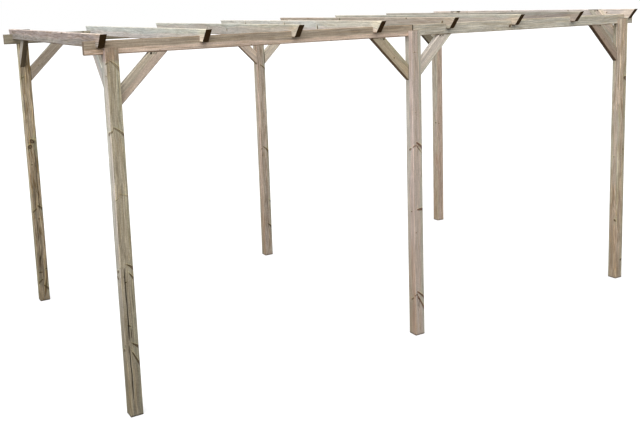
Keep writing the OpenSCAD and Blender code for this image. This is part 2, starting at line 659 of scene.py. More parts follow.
class PineWiring(Wiring):
    """Wires a treated pine, laying one thing over another: grain, stains, painted light and shade, knots,
    ends, and moisture with painted shade at the foot.

    Every method reads the grain, which is the place round the pith and up the stick, the
    place in the frame, the offset along the nearest knot and the eye, which is the
    distance from its middle, both in its radii, the distance from the pith, and the
    share of late wood.
    """

    def __init__(self, name: str, pine: TreatedPine) -> None:
        """Reads what is stored on the stick, and works out its knots and rings.

        Args:
            name: name of the material.
            pine: the finish to wire.
        """
        super().__init__(bpy.data.materials.new(name))
        self.pine = pine
        self.grain = self.stored("grain")
        self.spot = self.place()
        self.height = self.split(self.spot)[2]
        # The first stored mark is how much painted shade a check, a hole or a joining end gets
        self.crack, self.end, self.dead = self.split(self.stored("marks"))
        self.along, self.eye, swell = self.knot_fields()
        self.radius = self.ring_radius(swell)
        self.late = self.late_wood()

    def finished(self) -> bpy.types.Material:
        """Lays everything over the long grain and ends the material in its shader.

        Returns:
            The material.
        """
        fibre = self.rise(self.noise(self.grain, (1500.0, 1500.0, 16.0)), 0.25, 0.75, 0.90, 1.10)
        colour = self.knotted(self.weathered(self.shade(self.long_grain(), fibre)))
        colour = self.mix(self.end, colour, self.sawn_end())
        # Painted shade in checks, holes and at joining ends
        colour = self.mix(self.crack, colour, self.pine.crack)
        # Moisture and painted shade, darker towards the ground
        if self.pine.damp:
            colour = self.shade(colour, self.wet_foot())
        relief = self.plus(self.times(self.late, 0.5), self.times(fibre, 1.6))
        bump = self.node("ShaderNodeBump", {"Strength": 0.55, "Distance": 0.0006, "Height": relief})
        return self.surface(self.node("ShaderNodeBsdfPrincipled", {
            "Base Color": colour, "Roughness": self.math("MULTIPLY_ADD", self.late, -0.12, 0.86),
            "Normal": bump.outputs[0], "Specular IOR Level": 0.12}))

    def knot_fields(self) -> tuple[Socket, Socket, Socket]:
        """Reads the stored offset from the nearest branch, and makes the knot's outline ragged.

        The stored distance keeps a face that straddles two knots from showing a third.

        Returns:
            The offset along the stick and the distance from the knot's middle, both in
            its radii, and how far it swells the rings.
        """
        along, round_log, stretched = self.split(self.stored("knot"))
        eye = self.math("MAXIMUM", self.hypot(along, round_log), self.stored("eye", "Fac"))
        for scale, swing in ((75.0, 0.45), (420.0, 0.14)):
            eye = self.plus(eye, self.wobble(self.spot, (scale, scale, scale), swing))
        return along, eye, self.rise(stretched, 0.2, KNOT_REACH, 4.0 * self.pine.ring_gap, 0.0)

    def ring_radius(self, swell: Socket) -> Socket:
        """Works out the distance from the pith, with the wander of real growth rings.

        Args:
            swell: how far a knot swells the rings.

        Returns:
            The distance.
        """
        around, through, _ = self.split(self.grain)
        slow = self.wobble(self.grain, (16.0, 16.0, 1.8), 0.022)
        quick = self.wobble(self.grain, (90.0, 90.0, 7.0), 0.004)
        wander = self.plus(swell, self.plus(slow, quick))
        return self.plus(self.hypot(around, through), wander)

    def late_wood(self) -> Socket:
        """Works out how much dark late wood shows: a slow rise in each ring, then a quick fall.

        Returns:
            The share, above 1 where the rings are bold.
        """
        ring = self.math("FRACT", self.math("DIVIDE", self.radius, self.pine.ring_gap))
        late = self.curve(ring, [(0.0, 0.0), (0.42, 0.12), (0.80, 0.85), (0.90, 1.0), (1.0, 0.0)])
        boldness = self.rise(self.noise(self.grain, (40.0, 40.0, 1.5)), 0.36, 0.64, 0.2, 1.6)
        return self.times(late, boldness)

    def patches(self, vector: Socket, scale: Vec, swing: float, detail: float = 3.0) -> Socket:
        """A level about 1, in patches that swing by so much to each side."""
        return self.rise(self.noise(vector, scale, detail), 0.36, 0.64, 1.0 - swing, 1.0 + swing)

    def long_grain(self) -> Socket:
        """Colours sound wood along the grain, with its stains, late wood, streaks and speckle.

        Returns:
            The colour.
        """
        pine, grain, spot = self.pine, self.grain, self.spot
        near, far = pine.heart_radius - pine.heart_edge, pine.heart_radius + pine.heart_edge
        sapwood = self.rise(self.radius, near, far)
        colour = self.mix(sapwood, pine.cast(pine.heart_cast), pine.cast(pine.sap_cast))
        for edge, fade, cast in pine.front_zones:
            in_front = self.rise(self.split(spot)[1], edge - fade, edge + fade, 1.0, 0.0)
            colour = self.multiply(in_front, colour, cast)
        for vector, scale, low, high, share, cast in (
                (spot, (2.1, 2.1, 2.1), 0.42, 0.62, pine.cool_share, pine.cool_cast),
                (grain, (55.0, 55.0, 5.0), 0.50, 0.64, pine.fleck, pine.fleck_cast),
                (grain, (80.0, 80.0, 3.6), 0.52, 0.66, pine.cream, pine.cream_cast)):
            spread = self.rise(self.noise(vector, scale, 3.0), low, high, 0.0, share)
            colour = self.multiply(spread, colour, cast)
        colour = self.multiply(self.times(self.late, pine.late_share), colour, pine.late_cast)
        for scale, swing in (
                ((45.0, 45.0, 1.1), pine.streak),
                ((130.0, 130.0, 2.5), pine.fine),
                ((260.0, 260.0, 6.0), pine.fine)):
            colour = self.shade(colour, self.patches(grain, scale, swing))
        return self.shade(colour, self.patches(spot, (130.0, 130.0, 130.0), pine.mottle, 2.0))

    def weathered(self, colour: Socket) -> Socket:
        """Casts a colour towards the head by height, and with painted light and shade on
        tops, left sides, arrises and undersides.

        The stored direction has length 1 on a face and more on an arris, where two faces
        add. A painted highlight and wear lighten an arris, and painted shade darkens an
        underside. A left side is painted warmer and darker near the ground and lighter and
        cooler towards the top.

        Args:
            colour: colour of the wood.

        Returns:
            The colour with its casts.
        """
        pine = self.pine
        facing = self.stored("facing")
        leftward, _, upward = self.split(facing)
        # Painted light on a left side: warmer and darker at the ground, lighter and cooler from 1.6 m up
        side = self.mix(self.rise(self.height, 0.0, 1.6), pine.low_side_cast, pine.side_cast)
        length = self.vector("LENGTH", {0: facing}).outputs["Value"]
        # Painted light on tops and left sides, painted highlight and wear on arrises, painted shade on
        # undersides
        for value, low, high, cast in (
                (self.height, *pine.head_heights, pine.head_cast),
                (upward, 0.3, 0.95, pine.top_cast),
                (leftward, -0.3, -0.9, side),
                (length, 1.02, 1.35, pine.worn_cast),
                (upward, -0.15, -0.65, pine.under_cast)):
            colour = self.multiply(self.rise(value, low, high), colour, cast)
        return colour

    def knotted(self, colour: Socket) -> Socket:
        """Lays knots into the wood: fine rings inside, a dark rim, stained wood round them, and a painted
        highlight above each.

        Args:
            colour: colour of the wood.

        Returns:
            The colour with the knots.
        """
        eye = self.eye
        colour = self.multiply(self.rise(eye, 0.9, 2.2, 0.55, 0.0), colour, (0.62, 0.52, 0.40))
        # Painted highlight: a pale band beside each knot, on its upper side
        beside = self.times(self.rise(eye, 1.10, 1.35), self.rise(eye, 1.6, 2.3, 0.9, 0.0))
        above = self.times(beside, self.rise(self.along, 0.3, 1.2))
        colour = self.multiply(above, colour, (1.45, 1.42, 1.25))
        rings = self.times(self.math("SINE", self.times(eye, 19.0)), 0.12)
        turn = self.vector("NORMALIZE", {0: self.stored("knot")}).outputs[0]
        rays = self.rise(self.noise(turn, (5.0, 5.0, 0.0)), 0.40, 0.60, 0.62, 1.18)
        level = self.times(rays, self.plus(self.rise(eye, 0.0, 0.8, 1.25, 0.85), rings))
        inside = self.shade(self.pine.knot_wood, level)
        colour = self.mix(self.times(self.rise(eye, 0.80, 1.0, 1.0, 0.0), self.dead), colour, inside)
        rim = self.times(self.rise(eye, 0.66, 0.88), self.rise(eye, 0.98, 1.22, 0.92, 0.0))
        shown = self.times(rim, self.rise(self.dead, 0.0, 0.8, 0.7, 1.0))
        return self.mix(shown, colour, self.pine.rim_wood)

    def sawn_end(self) -> Socket:
        """Colours a sawn end: darker wood with its rings and rays.

        Returns:
            The colour.
        """
        rays = self.rise(self.noise(self.grain, (260.0, 260.0, 3.0), 3.0), 0.36, 0.64, 0.72, 1.2)
        rings = self.math("MULTIPLY_ADD", self.late, -0.4, 1.12)
        return self.shade(self.pine.end_wood, self.times(rings, rays))

    def wet_foot(self) -> Socket:
        """Darkens a post towards the ground: moisture and painted shade rising from the foot, and a painted
        shade right at the ground.

        Returns:
            The level to multiply the colour by.
        """
        ragged = self.wobble(self.spot, (18.0, 18.0, 6.0), 0.16, 3.0)
        damp = self.plus(self.height, ragged)
        risen = self.rise(damp, 0.0, self.pine.damp_reach, 1.0 - self.pine.damp, 1.0)
        # The last 16 mm above the ground take a painted shade
        return self.times(risen, self.rise(self.height, 0.002, 0.016, 0.25, 1.0))


@dataclass(frozen=True)
class ZincedSteel:
    """Yellow zinc on a screw head, dulled by handling."""

    bright: Rgb = (0.42, 0.38, 0.30)
    dull: Rgb = (0.18, 0.16, 0.13)

    def metal(self, name: str) -> bpy.types.Material:
        """Wires the material: two shades of zinc in fine patches, rougher where it is dull.

        Args:
            name: name of the material.

        Returns:
            The material.
        """
        w = Wiring(bpy.data.materials.new(name))
        patches = w.rise(w.noise(w.place(), (420.0, 420.0, 420.0), 3.0), 0.35, 0.65)
        return w.surface(w.node("ShaderNodeBsdfPrincipled", {
            "Base Color": w.mix(patches, self.bright, self.dull),
            "Roughness": w.rise(patches, 0.0, 1.0, 0.32, 0.55), "Metallic": 1.0}))


# ---------------------------------------------------------------- sticks

# Finest gaps between lattice lines: along a branch, round a screw and round an open hole
KNOT_STEP = 0.005
SCREW_STEP = 0.002
HOLE_STEP = 0.0011
# How far the fine lattice reaches to each side of a pocket's middle, in its widths
POCKET_REACH = 0.6
# Places of the lattice lines along a check, in its widths from its middle
CHECK_LINES = (-0.5, -0.2, 0.2, 0.5)
# How far from the ends of a stick the end lines of a check keep
END_MARGIN = 0.002
# How far a dead knot's face is dished
KNOT_DISH = 0.0005
# Share of its length over which a post is bowed
BOWED_SHARE = 0.84
# How near its face a lattice corner lies
TOUCH = 1e-6


@dataclass
class Stick:
    """A sawn and planed timber in its own axes: s along it, b up its depth, a through it.

    Its skin is the boundary of a lattice of wood cells. Planed arrises are rounded over,
    and the ends are cut crisp. Subclasses leave cells out for notches and slant the ends.
    """

    node: str
    length: float
    depth: float
    thickness: float
    placement: Placement
    stem: Stem
    finish: TreatedPine
    slot: str
    checks: tuple[Check, ...] = ()
    pockets: tuple[Pocket, ...] = ()
    arris: float = 0.0035
    saw_edge: float = 0.0008
    step_along: float = 0.014
    step_across: float = 0.0065
    bow: float = 0.0
    # Reach of the painted shade at each end, where it meets another part
    grime: tuple[float, float] = (0.0, 0.0)

    @property
    def sizes(self) -> Array:
        """Length, depth and thickness as an array."""
        return np.array([self.length, self.depth, self.thickness])

    def fixed_lines(self) -> Lines:
        """Lattice lines, on each axis, that a notch or a change of shape needs."""
        return [], [], []

    def is_wood(self, s: Array, b: Array, a: Array) -> Array:
        """Flags the lattice cells that are wood, by their middles."""
        return np.ones(np.broadcast(s, b, a).shape, bool)

    def slant(self, points: Array) -> Array:
        """Slants the ends; a plain stick has square ones."""
        return points

    def lattice_run(self, pocket: Pocket) -> tuple[float, float]:
        """The lattice stations between which a pocket lies."""
        half = POCKET_REACH * pocket.width
        return pocket.station - half, pocket.station + half

    def lines(self) -> list[Array]:
        """Rules the lattice, with lines close at arrises, knots, checks and pockets.

        Returns:
            The rising lines of the three axes.
        """
        along, up, through = (list(found) for found in self.fixed_lines())
        zones: list[list[Vec]] = [[], [], []]
        along += [self.saw_edge, self.length - self.saw_edge]
        along += [place for end, reach, sense in zip((0.0, self.length), self.grime, (1, -1)) if reach
                  for place in (end + sense * reach / 2.0, end + sense * reach)]
        for lines, size in ((up, self.depth), (through, self.thickness)):
            for inset in (0.35 * self.arris, self.arris):
                lines += [inset, size - inset]
        runs = [(*branch.stretch(), KNOT_STEP) for branch in self.stem.branches(self.length)]
        for check in self.checks:
            (up if check.face.across == 1 else through).extend(
                check.across + share * check.width for share in CHECK_LINES)
            along += [max(check.start, END_MARGIN), min(check.end, self.length - END_MARGIN)]
        for pocket in self.pockets:
            half = POCKET_REACH * pocket.width
            fine = SCREW_STEP if pocket.screw else HOLE_STEP
            runs.append((*self.lattice_run(pocket), fine))
            zones[pocket.face.across].append((pocket.across - half, pocket.across + half, fine))
        clipped = [(max(near, 0.0), min(far, self.length), gap) for near, far, gap in runs]
        zones[0] = [zone for zone in clipped if zone[0] < zone[1]]
        return [
            ruled(0.0, self.length, self.step_along, zones[0], along),
            ruled(0.0, self.depth, self.step_across, zones[1], up),
            ruled(0.0, self.thickness, self.step_across, zones[2], through),
        ]

    def round_over(self, flat: Array) -> Array:
        """Rounds the arrises: what reaches past the box inset by the radii, measured in
        those radii, is drawn in to length one, so that each corner becomes an arc.

        Args:
            flat: lattice corners.

        Returns:
            Their places on the planed stick.
        """
        half = self.sizes / 2.0
        radii = np.array([self.saw_edge, self.arris, self.arris])
        centred = flat - half
        core = np.clip(centred, radii - half, half - radii)
        excess = (centred - core) / radii
        reach = np.linalg.norm(excess, axis=1, keepdims=True)
        return half + core + excess / np.maximum(reach, 1.0) * radii

    def on(self, face: Face, flat: Array) -> Array:
        """Flags the lattice corners that lie on a long face."""
        edge = 0.0 if face.sign < 0 else self.sizes[face.axis]
        return np.abs(flat[:, face.axis] - edge) < TOUCH

    def open_check(self, points: Array, flat: Array, check: Check) -> Array:
        """Sinks the bottom of a check to a depth that tapers to nothing at both ends.

        Args:
            points: places to move, changed in place.
            flat: the lattice corners that they come from.
            check: the check.
        """
        on_face = self.on(check.face, flat)
        offset = np.abs(flat[:, check.face.across] - check.across)
        share = np.clip((points[:, 0] - check.start) / (check.end - check.start), 0.0, 1.0)
        open_share = np.sqrt(np.clip(4.0 * share * (1.0 - share), 0.0, 1.0))
        middle = on_face & (offset < 0.3 * check.width)
        wander = sway(points[:, 0], check.wander, 0.5, int(1000.0 * check.across) + self.stem.seed)
        points[:, check.face.across] += on_face * wander * np.clip(1.0 - offset / 0.012, 0.0, 1.0)
        points[:, check.face.axis] -= middle * check.face.sign * check.depth * open_share
        return middle * np.minimum(1.5 * open_share, 1.0)

    def drill_pocket(self, points: Array, flat: Array, pocket: Pocket) -> Array:
        """Sinks a disc: full depth inside, with a steep wall round it.

        Args:
            points: places to move, changed in place.
            flat: the lattice corners that they come from.
            pocket: the pocket.

        Returns:
            How deep in the pocket each point is, from 0 to 1.
        """
        along = points[:, 0] - pocket.station
        across = points[:, pocket.face.across] - pocket.across
        inside = 1.0 - 2.0 * np.hypot(along, across) / pocket.width
        sunk = self.on(pocket.face, flat) * ease(inside, 0.0, 0.2)
        points[:, pocket.face.axis] -= pocket.face.sign * pocket.depth * sunk
        return sunk

    def worked(self, sound: Array, flat: Array, knots: Array) -> tuple[Array, Array]:
        """Opens the checks, drills the pockets, dishes the knots, and bows the stick.

        Args:
            sound: places on the sound and straight stick.
            flat: the lattice corners that they come from.
            knots: rows of Knot columns.

        Returns:
            The places on the finished stick, and how dark the painted shade in a check, a hole or at a
            joining end makes each.
        """
        points, dark = sound.copy(), np.zeros(len(sound))
        # Painted shade down the open middle of each check
        for check in self.checks:
            dark = np.maximum(dark, self.open_check(points, flat, check))
        # Painted shade in each drilled hole, also round the screw heads
        for pocket in self.pockets:
            dark = np.maximum(dark, 0.95 * self.drill_pocket(points, flat, pocket))
        dish = KNOT_DISH * ease(1.2 - knots[:, Knot.STRETCHED], 0.0, 1.0)
        for face in Face:
            points[:, face.axis] -= self.on(face, flat) * face.sign * dish
        # Painted shade at the ends, where they meet another part
        for end, reach in zip((0.0, self.length), self.grime):
            if reach:
                dark = np.maximum(dark, 0.85 * ease(1.0 - np.abs(flat[:, 0] - end) / reach, 0.0, 0.6))
        risen = np.clip(sound[:, 0] / self.length, 0.0, BOWED_SHARE)
        points[:, 2] += self.bow * np.sin(math.pi * risen / BOWED_SHARE) ** 2
        return points, dark

    def outward(self, flat: Array) -> Array:
        """Tells which way the skin looks: each face's direction fades in over two arrises.

        Args:
            flat: lattice corners.

        Returns:
            Directions in the frame, longer than 1 on an arris, where two of them add.
        """
        reach = np.array([self.saw_edge, 2.0 * self.arris, 2.0 * self.arris])
        high = np.clip(1.0 - (self.sizes - flat) / reach, 0.0, 1.0)
        low = np.clip(1.0 - flat / reach, 0.0, 1.0)
        return (high - low) @ self.placement.axes

    def build(self) -> bpy.types.Object:
        """Builds and dresses the stick, and puts it in place of its CAD node.

        Returns:
            The finished piece.
        """
        lines = self.lines()
        middles = [(run[1:] + run[:-1]) / 2.0 for run in lines]
        corners, quads = lattice_skin(self.is_wood(*np.meshgrid(*middles, indexing="ij")))
        index = np.unravel_index(corners, [len(run) for run in lines])
        flat = np.stack([run[i] for run, i in zip(lines, index)], 1)
        sound = self.slant(self.round_over(flat))
        knots = self.stem.knots(sound, self.length)
        points, dark = self.worked(sound, flat, knots)
        ends = (flat[:, 0] < TOUCH) | (flat[:, 0] > self.length - TOUCH)

        if self.placement.mirrored:
            quads = quads[:, ::-1]
        piece = new_piece(self.node + "_timber", self.placement.world(points), quads, 35.0)
        paint_points(piece, "grain", self.stem.grain(sound))
        paint_points(piece, "knot", knots[:, :Knot.DEAD])
        paint_points(piece, "eye", knots[:, Knot.PLAIN])
        paint_points(piece, "marks", np.stack([dark, ends, knots[:, Knot.DEAD]], 1))
        paint_points(piece, "facing", self.outward(flat))
        piece.data.materials.append(self.finish.wood(self.node + "_pine"))
        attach(piece, "root")
        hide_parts(self.node)
        log.info("%s: %d vertices, %d quads", piece.name, len(points), len(quads))
        return piece


@dataclass
class PostStick(Stick):
    """A post on end: its inner part stops at the shoulder, and its cheek rises beside the beam."""

    shoulder: float = 2.495
    seat: float = 0.045

    def fixed_lines(self) -> Lines:
        """Lines at the shoulder and at the cheek's inner face."""
        return [self.shoulder], [self.seat], []

    def is_wood(self, s: Array, b: Array, a: Array) -> Array:
        """Leaves out the cells above the shoulder that the beam takes."""
        return (s < self.shoulder) | (b > self.seat)


@dataclass
class RafterStick(Stick):
    """A rafter with a notch over each beam and both tails cut on a rake."""

    notches: tuple[tuple[float, float], ...] = ()
    notch_depth: float = 0.045
    rake: float = 0.075

    def fixed_lines(self) -> Lines:
        """Lines at the walls and roofs of the notches."""
        return [edge for notch in self.notches for edge in notch], [self.notch_depth], []

    def is_wood(self, s: Array, b: Array, a: Array) -> Array:
        """Leaves out the cells in the notches."""
        inside = [(s > start) & (s < end) for start, end in self.notches]
        return ~(np.any(inside, axis=0) & (b < self.notch_depth))

    def slant(self, points: Array) -> Array:
        """Shortens each tail in proportion, by the rake at its foot and by nothing at its top.

        Args:
            points: places on the stick with square ends.

        Returns:
            Their places on the raked one.
        """
        tail = self.notches[0][0]
        short = self.rake * (1.0 - points[:, 1] / self.depth)
        moved = points.copy()
        s = points[:, 0]
        near, far = s < tail, s > self.length - tail
        moved[near, 0] = tail - ((tail - s) * (tail - short) / tail)[near]
        rest = s - (self.length - tail)
        moved[far, 0] = (self.length - tail + rest * (tail - short) / tail)[far]
        return moved


@dataclass
class BraceStick(Stick):
    """A knee brace, mitred at both ends, with its long edge at the bottom."""

    def slant(self, points: Array) -> Array:
        """Draws both ends in by the height above the long edge, for mitres of 45 degrees.

        Args:
            points: places on the stick with square ends.

        Returns:
            Their places on the mitred one.
        """
        moved = points.copy()
        up = points[:, 1]
        moved[:, 0] = up + points[:, 0] * (1.0 - 2.0 * up / self.length)
        return moved

    def lattice_run(self, pocket: Pocket) -> tuple[float, float]:
        """Finds where a pocket lies on the lattice, before the ends are drawn in.

        Args:
            pocket: the pocket.

        Returns:
            The first and last station of a square on it.
        """
        half = 0.42 * pocket.width
        corners = [(pocket.station + i * half, pocket.across + j * half) for i in (-1, 1) for j in (-1, 1)]
        places = [(station - up) / (1.0 - 2.0 * up / self.length) for station, up in corners]
        return min(places), max(places)

    def head_screws(self) -> list[ScrewPlace]:
        """Finds the screws in its pockets.

        Returns:
            Centre and axis of each.
        """
        axis = tuple(-self.placement.axes[2])
        places = [np.array([p.station, p.across, 0.5 * p.depth]) for p in self.pockets if p.screw]
        return [(tuple(self.placement.world(place)), axis) for place in places]


# ---------------------------------------------------------------- sub-assemblies


class Spot(Enum):
    """A named place and which way it lies from the middle."""

    @property
    def label(self) -> str:
        """The place's name as the nodes spell it."""
        return self.name.lower()


class Row(Spot):
    """The two rows of posts."""

    FRONT = -1
    REAR = 1


class Column(Spot):
    """The three columns of posts."""

    LEFT = -1
    MIDDLE = 0
    RIGHT = 1


SIDES = (Column.LEFT, Column.RIGHT)


def square_in(node: str, along: Vec, up: Vec, through: Vec) -> tuple[str, float, float, float, Placement]:
    """Lays a stick square in its node's box, from the corner that its three axes lead away from.

    Args:
        node: the CAD node.
        along: direction of its length.
        up: direction of its depth.
        through: direction of its thickness.

    Returns:
        The node, the length, the depth and the thickness, and where the stick lies.
    """
    box = np.array([tuple(corner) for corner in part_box(node)])
    axes = np.array([along, up, through])
    corner = np.where(axes.sum(0) < 0.0, box[1], box[0])
    sizes = np.abs(axes) @ (box[1] - box[0])
    return node, *sizes.tolist(), Placement(tuple(corner.tolist()), along, up, through)


# Posts darken towards the ground, by moisture and painted shade, up to 2.2 m
POST_PINE = TreatedPine(late_share=0.35, cream=0.5, damp=0.22, damp_reach=2.2)
# A beam's top is darkened by painted shade from the rafters over it
BEAM_PINE = TreatedPine(late_share=0.42, fleck=0.40, cream=0.5, streak=0.10, fine=0.15, cool_share=0.25,
                        end_wood=(0.22, 0.165, 0.12), top_cast=(0.77, 0.72, 0.67))
WARM_BEAM_PINE = replace(BEAM_PINE, sap_cast=(0.70, 0.68, 0.64), heart_cast=(1.16, 1.08, 1.07),
                         heart_radius=0.034, heart_edge=0.002)
# The grey beams' arrises take a strong painted highlight, with wear
GREY_BEAM_PINE = replace(BEAM_PINE, worn_cast=(1.42, 1.38, 1.30))
RAFTER_PINE = TreatedPine(late_share=0.28, fleck=0.28, cream=0.45, streak=0.08, fine=0.11, cool_share=0.5,
                          sap_cast=(0.98, 1.0, 0.99), cool_cast=(0.93, 0.98, 1.02),
                          cream_cast=(1.22, 1.20, 1.15), top_cast=(1.04, 1.02, 1.02),
                          end_wood=(0.050, 0.025, 0.007))
# The streaky rafter's top takes strong painted light
STREAKY_RAFTER_PINE = replace(RAFTER_PINE, streak=0.15, fine=0.17, cream=0.9, fleck=0.5,
                              top_cast=(1.45, 1.55, 1.60))
BRACE_PINE = TreatedPine(late_share=0.22, fleck=0.22, cream=0.3, streak=0.05, fine=0.09, cool_share=0.25,
                         heart_cast=(1.02, 0.99, 0.99), top_cast=(0.95, 0.95, 0.95), mottle=0.09)


@dataclass(frozen=True)
class PostLook:
    """What sets one post apart: the pith's place, its big knots, its checks and its pine.

    The pith is given in (b, a), from the inner face outwards and from left to right.
    """

    pith: tuple[float, float]
    knots: tuple[Branch, ...]
    checks: tuple[Check, ...]
    pine: TreatedPine


def spikes(stations: tuple[float, ...], bearing: float, radius: float, lean: float,
           dead: float) -> tuple[Branch, ...]:
    """Straight branches alike but for their place: a saw cut along each shows it as a spike."""
    return tuple(Branch(station, bearing, radius, lean, 0.0, dead) for station in stations)


@dataclass
class Posts:
    """The six posts, each stepped at the top to carry a beam."""

    slot: str = "post_timber"
    base_seed: int = 100
    # The left-side casts of each post's pine are painted light
    looks: dict[tuple[Row, Column], PostLook] = field(default_factory=lambda: {
        (Row.FRONT, Column.LEFT): PostLook(
            (0.086, 0.022),
            (Branch(2.46, 85, 0.0056, -30, -6.0, 0.15), Branch(2.02, 85, 0.0062, -26, -6.0, 0.4),
             Branch(1.57, 85, 0.006, -6, -3.0, 0.4), *spikes((2.45, 2.0, 1.55), 272, 0.006, -36, 0.4),
             Branch(1.092, 84, 0.0060, -12, -7.0), Branch(1.060, 84, 0.0044, -44, -3.0),
             Branch(0.555, 84, 0.0056, -40), Branch(0.520, 84, 0.0048, -66),
             Branch(1.08, 272, 0.0050, -20, 0.0, 0.7), Branch(0.540, 272, 0.0060, -52, 0.0, 0.8),
             *spikes((1.99, 1.05, 0.49), 215, 0.009, -20, 0.6), Branch(0.67, 60, 0.006, -30)),
            (Check(Face.TOP, 0.028, 0.55, 1.07, 0.0100, 0.016),
             Check(Face.TOP, 0.026, 0.12, 0.52, 0.0085, 0.012),
             Check(Face.TOP, 0.044, 0.56, 0.64, 0.006, 0.006), Check(Face.NEAR, 0.050, 1.2, 1.9)),
            replace(POST_PINE, tone=(0.455, 0.395, 0.30), heart_cast=(1.0, 0.99, 0.96),
                    side_cast=(1.34, 1.42, 1.72), low_side_cast=(0.78, 0.76, 0.70),
                    head_cast=(0.86, 0.75, 0.75), ring_gap=0.012, fleck=0.4, cream=0.6, streak=0.07,
                    fine=0.18, cool_share=0.15, mottle=0.10, damp=0.42, damp_reach=2.1)),
        (Row.FRONT, Column.MIDDLE): PostLook(
            (0.086, 0.020),
            (Branch(1.64, 85, 0.0080, -24, -6.0), Branch(1.62, 84, 0.0060, -50, 0.0, 0.6),
             Branch(0.385, 84, 0.0070, -34, -5.0), Branch(0.358, 84, 0.0060, -66),
             Branch(0.352, 60, 0.0055, -74), *spikes((1.62, 0.36), 272, 0.006, -30, 0.6),
             *spikes((1.61, 0.34), 215, 0.007, -30, 0.5), Branch(1.08, 75, 0.0085, 0),
             Branch(1.07, 220, 0.005, -10), Branch(2.37, 82, 0.003, -4)),
            (Check(Face.TOP, 0.030, 2.42, 2.535, 0.003, 0.006),
             Check(Face.TOP, 0.026, 0.25, 0.37, 0.008, 0.006),
             Check(Face.TOP, 0.042, 0.23, 0.33, 0.006, 0.005),
             Check(Face.NEAR, 0.040, 2.452, 2.50, 0.008, 0.015)),
            replace(POST_PINE, tone=(0.513, 0.454, 0.389), side_cast=(1.20, 1.20, 1.28),
                    low_side_cast=(0.85, 0.75, 0.66), rim_wood=(0.055, 0.026, 0.018),
                    knot_wood=(0.20, 0.10, 0.065), fleck=0.3, streak=0.08, fine=0.10, cool_share=0.2,
                    damp=0.17)),
        (Row.FRONT, Column.RIGHT): PostLook(
            (0.055, 0.035),
            (Branch(1.99, 60, 0.015, -12), Branch(1.97, 190, 0.008, -20), Branch(0.19, 62, 0.009, -8),
             Branch(1.10, 200, 0.008, -20), Branch(0.60, 300, 0.010, -20), Branch(1.30, 40, 0.005, -10)),
            (Check(Face.NEAR, 0.018, 2.385, 2.50, 0.006, 0.012),
             Check(Face.NEAR, 0.040, 2.456, 2.50, 0.008, 0.015)),
            replace(POST_PINE, tone=(0.487, 0.414, 0.314), side_cast=(1.10, 1.14, 1.22),
                    low_side_cast=(1.02, 0.98, 0.93), late_share=0.4, fleck=0.6, cream=0.7, streak=0.09,
                    fine=0.16, cool_share=0.3, mottle=0.10)),
        (Row.REAR, Column.LEFT): PostLook(
            (0.006, 0.040),
            (Branch(0.95, 96, 0.009, -26, -6.0, 0.8), Branch(0.92, 264, 0.008, -34, -4.0, 0.8),
             Branch(0.22, 264, 0.008, -34, -4.0, 0.8), Branch(2.2, 262, 0.006, -30, 0.0, 0.25),
             Branch(0.16, 96, 0.008, -44, 0.0, 0.8), Branch(1.58, 140, 0.022, -20),
             Branch(1.53, 200, 0.022, -24), Branch(0.82, 175, 0.022, -12)),
            (Check(Face.BOTTOM, 0.060, 0.9, 1.5, 0.007), Check(Face.BOTTOM, 0.030, 0.3, 0.8, 0.007)),
            replace(POST_PINE, tone=(0.37, 0.32, 0.225), cream_cast=(1.42, 1.38, 1.18),
                    side_cast=(1.28, 1.30, 1.42), low_side_cast=(1.02, 1.02, 1.04), ring_gap=0.010,
                    late_share=0.45, fleck=1.0, cream=1.0, streak=0.26, fine=0.26, cool_share=0.12,
                    damp=0.34)),
        (Row.REAR, Column.MIDDLE): PostLook(
            (0.006, 0.026),
            (Branch(1.24, 96, 0.0075, -28, -6.0, 0.7), Branch(0.67, 96, 0.0075, -28, -6.0, 0.7),
             Branch(0.38, 95, 0.009, -44), Branch(2.14, 94, 0.007, -34, -4.0, 0.7),
             *spikes((1.22, 0.66), 262, 0.006, -20, 0.6)),
            (Check(Face.BOTTOM, 0.050, 0.3, 0.7, 0.005),),
            replace(POST_PINE, tone=(0.50, 0.44, 0.358), side_cast=(1.22, 1.18, 1.22), fleck=0.6,
                    streak=0.12, fine=0.15, cool_share=0.3, mottle=0.10, damp=0.24)),
        (Row.REAR, Column.RIGHT): PostLook(
            (0.025, 0.050),
            (Branch(1.27, 280, 0.009, -20), Branch(0.75, 70, 0.009, -40)),
            (Check(Face.BOTTOM, 0.060, 0.1, 0.5, 0.005),),
            replace(POST_PINE, tone=(0.555, 0.46, 0.37), fleck=0.4, streak=0.08, fine=0.12, cool_share=0.2,
                    damp=0.15)),
    })

    def build(self) -> list[bpy.types.Object]:
        """Builds every post in its place."""
        return [self.stick(row, column).build() for row in Row for column in Column]

    def stick(self, row: Row, column: Column) -> PostStick:
        """One post, with its size and seat read from the frame.

        Args:
            row: row that it stands in.
            column: its place in the row.

        Returns:
            The stick, ready to build.
        """
        node = f"post_{row.label}_{column.label}"
        beam_low, beam_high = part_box(f"beam_{row.label}_left")
        look = self.looks[row, column]
        stem = Stem(look.pith, self.base_seed + 10 * row.value + column.value, whorl_gap=1.3,
                    knot_size=0.006, chosen=look.knots)
        return PostStick(
            *square_in(node, (0, 0, 1), (0, row.value, 0), (1, 0, 0)),
            stem, look.pine, self.slot, look.checks,
            shoulder=beam_low.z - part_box(node)[0].z, seat=beam_high.y - beam_low.y, bow=0.002 * row.value)


